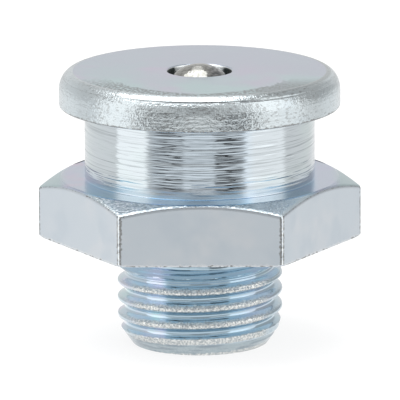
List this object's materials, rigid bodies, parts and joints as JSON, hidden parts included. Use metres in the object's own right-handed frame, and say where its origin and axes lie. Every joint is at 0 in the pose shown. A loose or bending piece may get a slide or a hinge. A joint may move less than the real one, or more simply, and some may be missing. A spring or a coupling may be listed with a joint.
{
  "type": "grease nipple",
  "caption": "Button-head grease nipple: a flat round head on a neck, a spanner hexagon and a short pipe-threaded shank, with a spring-loaded check ball in the central hole.",
  "frame": {"origin": "centre of the seat face, which is the flat underside of the hexagon that beds on the machine", "axes": "+Z along the axis of the part, from the thread to the head; two opposite flats of the hexagon face +Y and -Y"},
  "size_m": [0.0252, 0.022, 0.0221],
  "materials": {
    "zinc_plated_steel": "bright zinc plating with a pale blue passivation, over turned steel",
    "ball_steel": "ground and polished hardened steel",
    "spring_steel": "drawn spring wire, bare, ends ground flat"
  },
  "bodies": {
    "fitting": {"nipple_body": "zinc_plated_steel", "valve_spring": "spring_steel"},
    "ball": {"check_ball": "ball_steel"}
  },
  "joints": [
    {"name": "ball_slide", "type": "slide", "parent": "fitting", "child": "ball", "axis": [0, 0, -1], "range_m": [0, 0.0015], "stiffness_N_per_m": 1270, "deforming": ["valve_spring"]}
  ]
}
